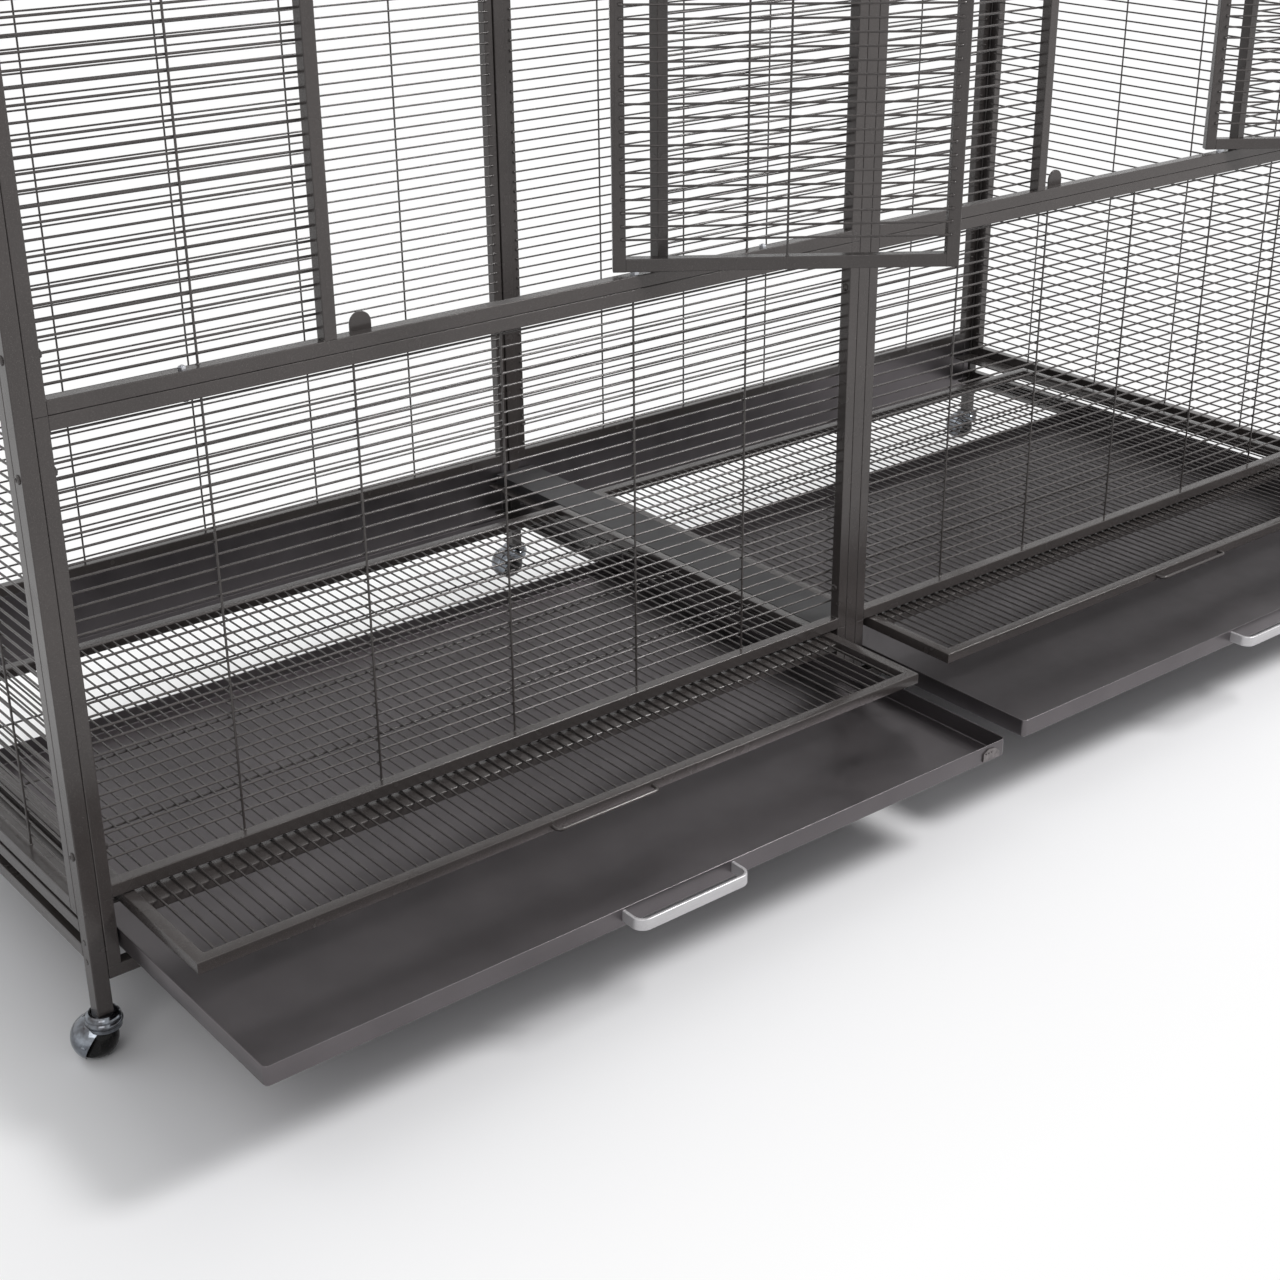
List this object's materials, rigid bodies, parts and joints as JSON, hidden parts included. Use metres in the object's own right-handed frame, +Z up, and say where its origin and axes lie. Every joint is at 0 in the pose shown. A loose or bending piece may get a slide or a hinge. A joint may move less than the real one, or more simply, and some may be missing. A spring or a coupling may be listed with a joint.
{
  "type": "bird cage",
  "caption": "Free-standing wire flight cage of welded tube panels on hooded ball casters, with hinged front doors, slide-out floor grilles and slide-out trays.",
  "frame": {"origin": "middle of the bounding box on the floor under the casters, with the doors, grilles and trays where the picture shows them", "axes": "+X along the front from left to right, +Y from front to back, +Z up"},
  "size_m": [1.854, 0.966, 1.6006],
  "materials": {
    "wire_coat": "satin",
    "sheet_coat": "satin",
    "zinc": "satin",
    "caster_chrome": "polished",
    "handle_aluminium": "satin",
    "ball_plastic": "satin"
  },
  "bodies": {
    "cage": {"post_front_left": "wire_coat", "post_front_centre": "wire_coat", "post_front_right": "wire_coat", "post_rear_left": "wire_coat", "post_rear_centre": "wire_coat", "post_rear_right": "wire_coat", "lower_panel_left": "wire_coat", "lower_panel_right": "wire_coat", "latch_side_panel_left": "wire_coat", "latch_side_panel_right": "wire_coat", "hinge_side_panel_left": "wire_coat", "hinge_side_panel_right": "wire_coat", "door_header_left": "wire_coat", "door_header_right": "wire_coat", "rear_panel_left": "wire_coat", "rear_panel_right": "wire_coat", "side_panel_left": "wire_coat", "side_panel_right": "wire_coat", "side_base_left": "wire_coat", "side_base_right": "wire_coat", "roof_panel_left": "wire_coat", "roof_panel_right": "wire_coat", "sill_rails": "wire_coat", "base_front_rails": "wire_coat", "base_front_stiles": "wire_coat", "centre_beam": "wire_coat", "centre_tray_rail": "wire_coat", "slide_ledges": "wire_coat", "stop_tabs": "wire_coat", "rear_apron_left": "sheet_coat", "rear_apron_right": "sheet_coat", "panel_bolts": "zinc", "door_hinges": "zinc", "caster_caps": "caster_chrome"},
    "door_left": {"door_left": "wire_coat"},
    "door_latch_left": {"door_latch_left": "zinc"},
    "grille_left": {"grille_left": "wire_coat", "grille_handle_left": "wire_coat"},
    "tray_left": {"tray_left": "sheet_coat", "tray_handle_left": "handle_aluminium", "tray_clip": "zinc"},
    "door_right": {"door_right": "wire_coat"},
    "door_latch_right": {"door_latch_right": "zinc"},
    "grille_right": {"grille_right": "wire_coat", "grille_handle_right": "wire_coat"},
    "tray_right": {"tray_right": "sheet_coat", "tray_handle_right": "handle_aluminium"},
    "caster_front_left": {"caster_hood_front_left": "caster_chrome"},
    "ball_front_left": {"ball_front_left": "ball_plastic"},
    "caster_front_centre": {"caster_hood_front_centre": "caster_chrome"},
    "ball_front_centre": {"ball_front_centre": "ball_plastic"},
    "caster_front_right": {"caster_hood_front_right": "caster_chrome"},
    "ball_front_right": {"ball_front_right": "ball_plastic"},
    "caster_rear_left": {"caster_hood_rear_left": "caster_chrome"},
    "ball_rear_left": {"ball_rear_left": "ball_plastic"},
    "caster_rear_centre": {"caster_hood_rear_centre": "caster_chrome"},
    "ball_rear_centre": {"ball_rear_centre": "ball_plastic"},
    "caster_rear_right": {"caster_hood_rear_right": "caster_chrome"},
    "ball_rear_right": {"ball_rear_right": "ball_plastic"}
  },
  "joints": [
    {"name": "door_left_swing", "type": "hinge", "parent": "cage", "child": "door_left", "pos_m": [-0.29497, -0.19718, 0.6139], "axis": [0, 0, 1], "range_deg": [-145, 4]},
    {"name": "door_latch_left_turn", "type": "hinge", "parent": "door_left", "child": "door_latch_left", "pos_m": [-0.04281, -0.36575, 0.9639], "axis": [-0.5736, -0.8192, 0], "range_deg": [-90, 0]},
    {"name": "grille_left_slide", "type": "slide", "parent": "cage", "child": "grille_left", "axis": [0, -1, 0], "range_m": [-0.1345, 0.3655]},
    {"name": "tray_left_slide", "type": "slide", "parent": "cage", "child": "tray_left", "axis": [0, -1, 0], "range_m": [-0.254, 0.246]},
    {"name": "door_right_swing", "type": "hinge", "parent": "cage", "child": "door_right", "pos_m": [0.60952, -0.19718, 0.6139], "axis": [0, 0, 1], "range_deg": [-145, 4]},
    {"name": "door_latch_right_turn", "type": "hinge", "parent": "door_right", "child": "door_latch_right", "pos_m": [0.86169, -0.36575, 0.9639], "axis": [-0.5736, -0.8192, 0], "range_deg": [-90, 0]},
    {"name": "grille_right_slide", "type": "slide", "parent": "cage", "child": "grille_right", "axis": [0, -1, 0], "range_m": [-0.1225, 0.3775]},
    {"name": "tray_right_slide", "type": "slide", "parent": "cage", "child": "tray_right", "axis": [0, -1, 0], "range_m": [-0.242, 0.258]},
    {"name": "caster_front_left_swivel", "type": "hinge", "parent": "cage", "child": "caster_front_left", "pos_m": [-0.89897, -0.19553, 0.0429], "axis": [0, 0, 1], "continuous": true},
    {"name": "ball_front_left_roll", "type": "hinge", "parent": "caster_front_left", "child": "ball_front_left", "pos_m": [-0.90482, -0.18717, 0.0203], "axis": [-0.8192, -0.5736, 0], "continuous": true},
    {"name": "caster_front_centre_swivel", "type": "hinge", "parent": "cage", "child": "caster_front_centre", "pos_m": [0.00553, -0.19553, 0.0429], "axis": [0, 0, 1], "continuous": true},
    {"name": "ball_front_centre_roll", "type": "hinge", "parent": "caster_front_centre", "child": "ball_front_centre", "pos_m": [-0.00032, -0.18717, 0.0203], "axis": [-0.8192, -0.5736, 0], "continuous": true},
    {"name": "caster_front_right_swivel", "type": "hinge", "parent": "cage", "child": "caster_front_right", "pos_m": [0.91002, -0.19553, 0.0429], "axis": [0, 0, 1], "continuous": true},
    {"name": "ball_front_right_roll", "type": "hinge", "parent": "caster_front_right", "child": "ball_front_right", "pos_m": [0.90417, -0.18717, 0.0203], "axis": [-0.8192, -0.5736, 0], "continuous": true},
    {"name": "caster_rear_left_swivel", "type": "hinge", "parent": "cage", "child": "caster_rear_left", "pos_m": [-0.89897, 0.45247, 0.0429], "axis": [0, 0, 1], "continuous": true},
    {"name": "ball_rear_left_roll", "type": "hinge", "parent": "caster_rear_left", "child": "ball_rear_left", "pos_m": [-0.90482, 0.46083, 0.0203], "axis": [-0.8192, -0.5736, 0], "continuous": true},
    {"name": "caster_rear_centre_swivel", "type": "hinge", "parent": "cage", "child": "caster_rear_centre", "pos_m": [0.00553, 0.45247, 0.0429], "axis": [0, 0, 1], "continuous": true},
    {"name": "ball_rear_centre_roll", "type": "hinge", "parent": "caster_rear_centre", "child": "ball_rear_centre", "pos_m": [-0.00032, 0.46083, 0.0203], "axis": [-0.8192, -0.5736, 0], "continuous": true},
    {"name": "caster_rear_right_swivel", "type": "hinge", "parent": "cage", "child": "caster_rear_right", "pos_m": [0.91002, 0.45247, 0.0429], "axis": [0, 0, 1], "continuous": true},
    {"name": "ball_rear_right_roll", "type": "hinge", "parent": "caster_rear_right", "child": "ball_rear_right", "pos_m": [0.90417, 0.46083, 0.0203], "axis": [-0.8192, -0.5736, 0], "continuous": true}
  ]
}
